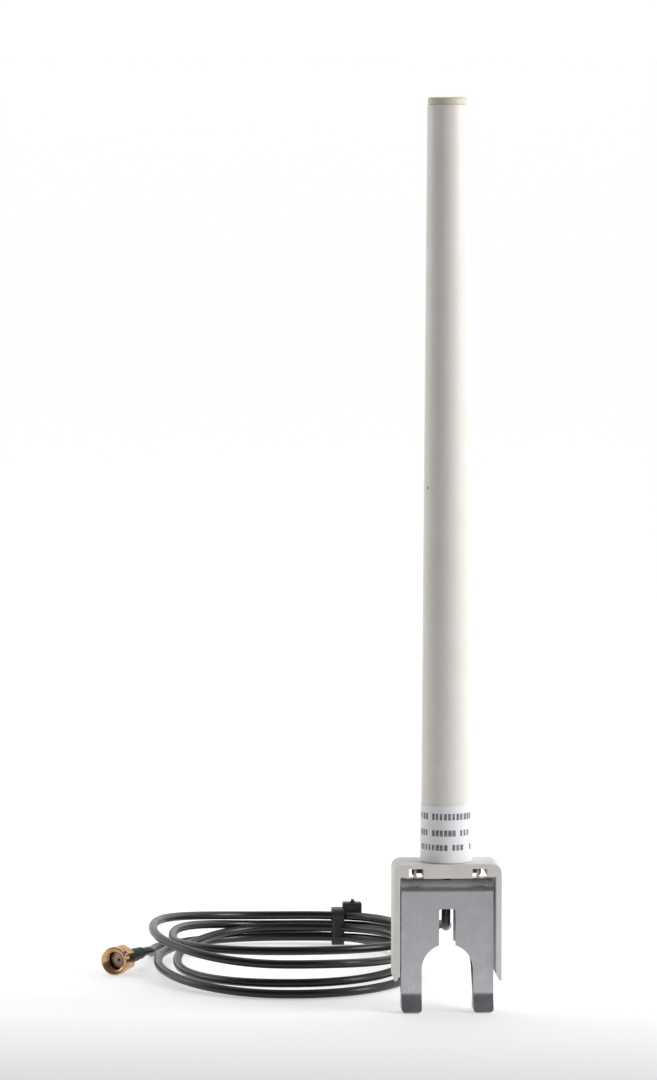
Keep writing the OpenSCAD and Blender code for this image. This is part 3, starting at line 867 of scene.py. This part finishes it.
def add_rivets():
    # Cold-headed steel, blackened: dark, satin, a little worn on the domes
    material = turned_metal("steel_cold_headed_blackened", "#5A5755", "#6E6B68", 0.4, 0.3, 0.004)
    pins = []
    for side in (-1, 1):
        pin = turned("rivet", [
            (0.45, 5.4), (0.7, 5.6), (0.7, 10.18), (1.15, 10.2), (1.3, 10.32), (1.28, 10.45), (1.15, 10.6),
            (0.9, 10.72), (0.55, 10.79), (0.2, 10.8)], sides=40)
        pins.append(put(pin, Matrix.Translation((0, 0, PIVOT_Z * MM))
                        @ Matrix.Rotation(side * math.pi / 2, 4, "Y")))
    deselect()
    for pin in pins:
        pin.select_set(True)
    bpy.context.view_layer.objects.active = pins[0]
    bpy.ops.object.join()
    pins[0].name = "clip_rivets"
    finish_piece(pins[0], material, "clip", "rivet_steel", "pivot_rivets")


add_rivets()


# ---------------------------------------------------------------------------
# Inside the tube: the coax's bared end, a crimped ferrule, a brass sleeve that
# chokes the cable, and two copper radiators joined by a wound phasing coil.
# Their shapes are the model's own, and they are hidden in the closed tube.
# ---------------------------------------------------------------------------

BARE_BRASS = turned_metal("brass_drawn_tube", "#D1B063", "#B99548", 0.3)
COPPER_WIRE = turned_metal("copper_drawn_wire", "#DA8E6C", "#B86F4E", 0.28, 0.2)
# PTFE_PAINTED_REFLECTION is white: its pinkish beige colour here is painted warm reflection of the gold
# round it and painted shade inside the nut
PTFE_PAINTED_REFLECTION = soft_rubber("ptfe_turned_painted_reflection", "#D8C6BD", 0.5, ior=1.36)
FOAM = soft_rubber("polyethylene_foam_cut", "#E9E7E2", 0.85)
dress("feed_coax", JACKET)
dress("crimp_ferrule", PLUG_BRASS)
dress("choke_sleeve", BARE_BRASS)
dress("sleeve_washer", BARE_BRASS)
dress("lower_radiator", COPPER_WIRE)
dress("phasing_coil", COPPER_WIRE)
dress("coil_former", PTFE_PAINTED_REFLECTION)
dress("upper_radiator", COPPER_WIRE)
dress("centring_discs", FOAM)


# ---------------------------------------------------------------------------
# The cable tie: black nylon, moulded in one piece. Its strap has teeth across
# it, runs once round the turns at the far side and through the head, and is
# cut off short.
# ---------------------------------------------------------------------------

def add_tie():
    # Nylon, injection moulded in black: a low satin sheen, slightly uneven
    material = soft_rubber("black_nylon_moulded", "#171719", 0.45, ior=1.53)
    left, right, top = -29.0, -25.0, 12.2
    near, far, strap = 130.1, 139.7, 1.0
    tie = add_box("cable_tie_strap", (left, near, 0.0), (right, far, top))
    bevel_edges(tie, lambda p, e: runs_along(e, "X"), 2.6, 8)
    hole = add_box("hole", (left - 1, near + strap, strap), (right + 1, far - strap, top - strap))
    bevel_edges(hole, lambda p, e: runs_along(e, "X"), 1.7, 8)
    carve(tie, hole)
    head = add_box("head", (right - 0.4, 132.6, 10.3), (right + 6, 137.2, 14.1))
    bevel_edges(head, lambda p, e: True, 0.5, 3)
    carve(tie, head, "UNION")
    round_edges(tie, 0.1, 2, 50)
    # the strap runs through a slot in the head and is cut off just above it
    carve(tie, add_box("slot", (right + 2.0, 133.3, 13.2), (right + 3.9, 136.5, 16)))
    stub = add_box("stub", (right + 2.4, 133.7, 12.9), (right + 3.5, 136.1, 15.0))
    bevel_edges(stub, lambda p, e: runs_along(e, "Z"), 0.2, 2)
    carve(tie, stub, "UNION")
    # the strap's teeth, across its outer face on the near side
    teeth, first_z, pitch, depth = 7, 3.2, 0.9, 0.22
    for i in range(teeth):
        z = first_z + i * pitch
        carve(tie, add_box("tooth_gap", (left + 0.8, near - 0.5, z),
                           (right - 0.8, near + depth, z + pitch / 2)))
    finish_piece(tie, material, "mast", "nylon_tie", "cable_tie")
    return tie


cable_tie = add_tie()


# ---------------------------------------------------------------------------
# The connector at the lead's end: a turned brass body flashed with gold, with
# a PTFE_PAINTED_REFLECTION insulator and the centre socket in it. The lead is crimped to it under
# a ferrule, which a shrunk sleeve covers. Z runs out of its mouth.
# ---------------------------------------------------------------------------

CONNECTOR = (Matrix.Translation(Vector((-102.8, 71.3, 4.65)) * MM)
             @ Matrix.Rotation(math.radians(-27), 4, "Z") @ Matrix.Rotation(math.pi / 2, 4, "X"))
# Brass, turned, then flashed with a thin layer of gold: peach gold, brighter on edges, browner in tool marks
GOLD_FLASH = turned_metal("gold_flashed_brass_turned", "#D6B189", "#AD8556", 0.2)
GOLD = turned_metal("gold_plated_contact", "#E3B566", "#D3A04E", 0.2)
SILICONE = soft_rubber("red_brown_silicone_moulded", "#6E2F22", 0.5)
SPRING_WIRE = turned_metal("steel_spring_wire", "#B5B1AC", "#9D9994", 0.3)
SHRINK = soft_rubber("black_polyolefin_shrunk", "#18181A", 0.5)
dress("tail_ferrule", GOLD_FLASH)

body = put(turned("connector_shell", [
    (2.05, -3.6), (2.15, -3.5), (2.45, -3.5), (2.55, -3.6), (2.55, -4.86), (2.5, -4.9), (2.3, -4.9),
    (2.3, -5.5), (2.5, -5.5), (2.55, -5.55), (2.55, -7.75), (2.8, -7.75), (2.9, -7.85), (2.9, -8.3),
    (2.8, -8.4), (2.8, -8.6), (2.9, -8.7), (2.9, -9.1), (2.8, -9.2), (1.4, -9.2), (1.4, -10.2),
    (0.65, -10.2), (0.65, -8.4), (2.05, -8.4), (2.05, -3.6)], sides=72), CONNECTOR)
finish_piece(body, GOLD_FLASH, "mast", "gold_plate", "connector_body")

# the insulator's pinkish beige is painted reflection of the gold and painted shade; the
# PTFE_PAINTED_REFLECTION itself is white
insulator = put(turned("centre_insulator", [
    (0.66, -8.4), (2.04, -8.4), (2.04, -3.95), (1.9, -3.8), (0.8, -3.8), (0.66, -3.92), (0.66, -8.4)],
    sides=64), CONNECTOR)
finish_piece(insulator, PTFE_PAINTED_REFLECTION, "mast", "ptfe", "insulator")

socket = put(turned("centre_socket", [
    (0.3, -10.2), (0.64, -10.15), (0.64, -4.0), (0.56, -3.9), (0.5, -3.9), (0.47, -3.96), (0.47, -6.3),
    (0.1, -6.4)], sides=40), CONNECTOR)
finish_piece(socket, GOLD, "mast", "gold_plate", "contact")

gasket = put(turned("face_gasket", [
    (2.56, -4.7), (2.9, -4.7), (2.95, -4.6), (2.95, -4.0), (2.9, -3.9), (2.62, -3.9), (2.56, -4.0),
    (2.56, -4.7)], sides=64), CONNECTOR)
finish_piece(gasket, SILICONE, "mast", "silicone", "gasket")

ring = turned("nut_snap_ring", [
    (2.32, -5.4), (2.36, -5.44), (3.06, -5.44), (3.1, -5.4), (3.1, -5.0), (3.06, -4.96), (2.36, -4.96),
    (2.32, -5.0), (2.32, -5.4)], sides=64)
carve(ring, add_box("gap", (0, -0.5, -6), (4, 0.5, -4)))
shade(ring)
finish_piece(put(ring, CONNECTOR), SPRING_WIRE, "mast", "gold_plate", "snap_ring")

sleeve = put(turned("shrunk_sleeve", [
    (1.42, -20.0), (1.75, -20.0), (1.92, -19.8), (1.98, -19.2), (1.94, -18.2), (2.0, -17.0), (2.08, -16.3),
    (2.18, -15.8), (2.2, -14.2), (2.16, -12.6), (2.2, -11.0), (2.2, -9.7), (2.12, -9.35), (1.95, -9.25),
    (1.87, -9.3), (1.87, -15.9), (1.42, -16.1), (1.42, -20.0)], sides=64), CONNECTOR)
finish_piece(sleeve, SHRINK, "mast", "shrink_tube", "tail_sleeve")


# ---------------------------------------------------------------------------
# The coupling nut: gold-flashed brass, a round collar and a hexagon turned and
# milled from one bar, with a fine inside thread. It spins on the body.
# ---------------------------------------------------------------------------

def add_nut():
    length, across = 7.6, 8.0
    corner_r = across / 2 / math.cos(math.radians(30))
    collar_back, groove_back = -2.85, -3.25
    nut = turned("coupling_nut_outside", [
        (3.3, -length), (3.95, -length), (corner_r, -length + 0.45), (corner_r, groove_back - 0.3),
        (4.1, groove_back), (3.85, groove_back), (3.85, collar_back - 0.05), (4.3, collar_back),
        (4.6, collar_back + 0.3), (4.6, -0.4), (4.5, -0.14), (4.3, 0.0), (3.3, 0.0)], sides=96)
    # the six flats are milled over the hexagon's length only
    deselect()
    flats_low = -length - 1
    bpy.ops.mesh.primitive_cylinder_add(vertices=6, radius=corner_r * MM,
                                        depth=(groove_back - flats_low) * MM,
                                        location=(0, 0, (groove_back + flats_low) / 2 * MM))
    flats = bpy.context.object
    bpy.ops.object.transform_apply(location=True, rotation=True, scale=True)
    carve(flats, add_rod("front", 6, groove_back, 1), "UNION")
    carve(nut, flats, "INTERSECT")

    # inside: the thread, the chamber of the snap ring, and the bore that runs on the body
    pitch, root_r, crest_r, turns = 0.7056, 3.18, 3.0, 4
    bore = [(0.2, 0.6), (4.5, 0.6), (4.15, 0.0), (3.55, -0.25), (crest_r, -0.7)]
    for i in range(turns):
        z = -0.7 - i * pitch * 0.8
        bore += [(crest_r, z - 0.06), (root_r, z - 0.24), (root_r, z - 0.3), (crest_r, z - 0.48)]
    bore += [(crest_r, -3.1), (3.3, -3.15), (3.3, -6.4), (2.61, -6.4), (2.61, -length - 0.6),
             (0.2, -length - 0.6)]
    carve(nut, turned("bore_tool", bore, sides=72))
    round_edges(nut, 0.07, 2, 32)
    nut.name = "coupling_nut_turned"
    finish_piece(put(nut, CONNECTOR), GOLD_FLASH, "nut", "gold_plate", "coupling_nut")
    return nut


coupling_nut = add_nut()
